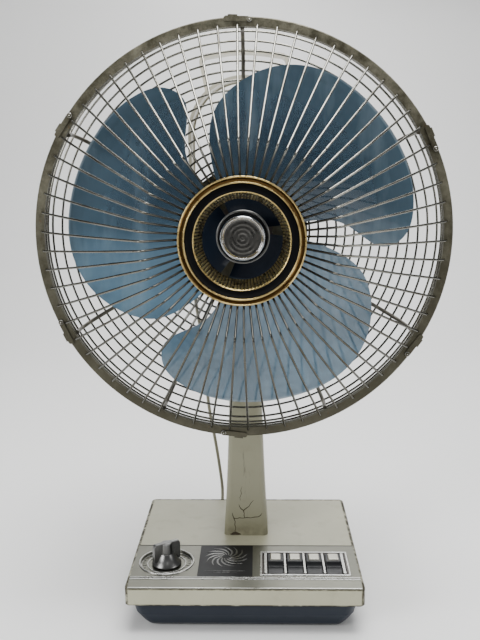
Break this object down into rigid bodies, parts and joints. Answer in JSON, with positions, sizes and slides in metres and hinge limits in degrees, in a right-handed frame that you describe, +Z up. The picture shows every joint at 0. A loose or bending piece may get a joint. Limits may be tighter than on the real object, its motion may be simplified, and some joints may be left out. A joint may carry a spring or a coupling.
{
  "type": "desk fan",
  "caption": "Oscillating desk fan: blades in a wire guard on a tilting motor head, tapered column, and a flat base with push keys and a timer.",
  "frame": {"origin": "on the table plane, under the middle of the fan's bounding box", "axes": "+Z up, +X to the right as seen from the front, the fan blows towards -Y"},
  "size_m": [0.415, 0.3116, 0.6168],
  "materials": {
    "cream_paint": "satin enamel, yellowed and scuffed",
    "tub_plastic": "dark blue-grey moulded plastic",
    "rubber_black": "matt",
    "plate_steel": "bare pressed steel",
    "screw_steel": "plated",
    "panel_aluminium": "brushed lengthways, dulled",
    "label_black": "black label with a silver pattern",
    "key_black": "black plastic with silver caps",
    "case_phenolic": "dark moulded casing",
    "knob_metal": "satin metallised knob",
    "capacitor_grey": "moulded capacitor body",
    "cast_zinc": "rough casting",
    "bell_aluminium": "die-cast",
    "lamination_steel": "stacked laminations",
    "copper_winding": "varnished copper wire",
    "bronze_bush": "oiled sintered bush",
    "motor_cover_cream": "cream moulded cover",
    "handle_cream": "cream moulded plastic",
    "guard_wire": "bright plated wire, dulled",
    "guard_rib": "dark wire rib",
    "rim_steel": "olive-grey band, worn",
    "badge_gold": "gold trim with a brown groove",
    "badge_black": "gloss black",
    "shaft_steel": "ground shaft",
    "blade_blue": "translucent slate-blue plastic",
    "nut_chrome": "turned rings",
    "lead_vinyl": "limp vinyl flex"
  },
  "bodies": {
    "base": {"base_cover": "cream_paint", "base_tub": "tub_plastic", "rubber_feet": "rubber_black", "ballast_plate": "plate_steel", "base_screws": "screw_steel", "column_core": "plate_steel", "column_shell": "cream_paint", "control_panel": "panel_aluminium", "label_plate": "label_black", "key_frame": "case_phenolic", "switch_block": "case_phenolic", "timer_body": "case_phenolic", "capacitor": "capacitor_grey", "cord_glands": "rubber_black", "motor_lead_lower": "lead_vinyl"},
    "timer_knob": {"timer_knob": "knob_metal"},
    "key_1": {"key_1": "key_black"},
    "key_2": {"key_2": "key_black"},
    "key_3": {"key_3": "key_black"},
    "key_4": {"key_4": "key_black"},
    "tilt_knob": {"tilt_knob": "case_phenolic"},
    "neck": {"neck_casting": "cast_zinc", "pivot_post": "shaft_steel"},
    "link_arm": {"link_arm": "plate_steel"},
    "head": {"motor_front_bell": "bell_aluminium", "motor_rear_bell": "bell_aluminium", "motor_bearings": "bronze_bush", "stator_core": "lamination_steel", "stator_windings": "copper_winding", "head_screws": "screw_steel", "motor_cover": "motor_cover_cream", "pivot_bracket": "cast_zinc", "gear_case": "case_phenolic", "carry_handle": "handle_cream", "carry_grip": "handle_cream", "rear_guard_wall_rings": "guard_wire", "rear_guard_back_rings": "guard_wire", "rear_guard_ribs": "guard_rib", "guard_hub_plate": "rim_steel", "guard_nut": "case_phenolic", "rear_rim": "rim_steel", "front_rim": "rim_steel", "front_wires": "guard_wire", "badge_ring": "badge_gold", "badge_disc": "badge_black", "badge_funnel": "badge_gold", "motor_lead_upper": "lead_vinyl"},
    "crank": {"worm_wheel": "case_phenolic"},
    "clutch_knob": {"clutch_knob": "case_phenolic"},
    "clip_1": {"clip_lever_1": "rim_steel"},
    "clip_2": {"clip_lever_2": "rim_steel"},
    "clip_3": {"clip_lever_3": "rim_steel"},
    "clip_4": {"clip_lever_4": "rim_steel"},
    "clip_5": {"clip_lever_5": "rim_steel"},
    "clip_6": {"clip_lever_6": "rim_steel"},
    "rotor": {"motor_shaft": "shaft_steel", "rotor_core": "lamination_steel", "fan_blade": "blade_blue", "hub_collar": "nut_chrome", "spinner_nut": "nut_chrome"}
  },
  "joints": [
    {"name": "timer_turn", "type": "hinge", "parent": "base", "child": "timer_knob", "pos_m": [-0.085, -0.06, 0.054], "axis": [0, 0, -1], "range_deg": [0, 300]},
    {"name": "key_1_press", "type": "slide", "parent": "base", "child": "key_1", "axis": [0, 0, -1], "range_m": [0, 0.004], "stiffness_N_per_m": 300},
    {"name": "key_2_press", "type": "slide", "parent": "base", "child": "key_2", "axis": [0, 0, -1], "range_m": [0, 0.004], "stiffness_N_per_m": 300},
    {"name": "key_3_press", "type": "slide", "parent": "base", "child": "key_3", "axis": [0, 0, -1], "range_m": [0, 0.004], "stiffness_N_per_m": 300},
    {"name": "key_4_press", "type": "slide", "parent": "base", "child": "key_4", "axis": [0, 0, -1], "range_m": [0, 0.004], "stiffness_N_per_m": 300},
    {"name": "tilt_lock", "type": "hinge", "parent": "base", "child": "tilt_knob", "pos_m": [0, 0.048, 0.322], "axis": [1, 0, 0], "range_deg": [0, 180]},
    {"name": "tilt", "type": "hinge", "parent": "base", "child": "neck", "pos_m": [0, 0.048, 0.322], "axis": [-1, 0, 0], "range_deg": [-10, 20], "deforming": ["motor_lead_lower"]},
    {"name": "oscillate", "type": "hinge", "parent": "neck", "child": "head", "pos_m": [0, 0.05, 0.34], "axis": [0, 0, 1], "range_deg": [-40, 40], "deforming": ["motor_lead_upper"]},
    {"name": "link_swing", "type": "hinge", "parent": "neck", "child": "link_arm", "pos_m": [0.026, 0.05, 0.339], "axis": [0, 0, 1], "range_deg": [-40, 40]},
    {"name": "spin", "type": "hinge", "parent": "head", "child": "rotor", "pos_m": [0, 0, 0.4074], "axis": [0, 1, 0], "continuous": true},
    {"name": "crank_turn", "type": "hinge", "parent": "head", "child": "crank", "pos_m": [0.02, 0.111, 0.4074], "axis": [0, 0, 1], "continuous": true},
    {"name": "clutch_pull", "type": "slide", "parent": "head", "child": "clutch_knob", "axis": [0, 0, 1], "range_m": [0, 0.008]},
    {"name": "clip_1_swing", "type": "hinge", "parent": "head", "child": "clip_1", "pos_m": [0.00715, -0.067, 0.61228], "axis": [0, 1, 0], "range_deg": [0, 70]},
    {"name": "clip_2_swing", "type": "hinge", "parent": "head", "child": "clip_2", "pos_m": [-0.16793, -0.067, 0.52498], "axis": [0, 1, 0], "range_deg": [0, 70]},
    {"name": "clip_3_swing", "type": "hinge", "parent": "head", "child": "clip_3", "pos_m": [0.18728, -0.067, 0.49078], "axis": [0, 1, 0], "range_deg": [0, 70]},
    {"name": "clip_4_swing", "type": "hinge", "parent": "head", "child": "clip_4", "pos_m": [-0.18579, -0.067, 0.32076], "axis": [0, 1, 0], "range_deg": [0, 70]},
    {"name": "clip_5_swing", "type": "hinge", "parent": "head", "child": "clip_5", "pos_m": [0.16585, -0.067, 0.2869], "axis": [0, 1, 0], "range_deg": [0, 70]},
    {"name": "clip_6_swing", "type": "hinge", "parent": "head", "child": "clip_6", "pos_m": [-0.02143, -0.067, 0.20352], "axis": [0, 1, 0], "range_deg": [0, 70]}
  ],
  "couplings": [
    {"joint": "crank_turn", "follows": "spin", "ratio": 0.025},
    {"joint": "link_swing", "follows": "oscillate", "ratio": 1}
  ]
}
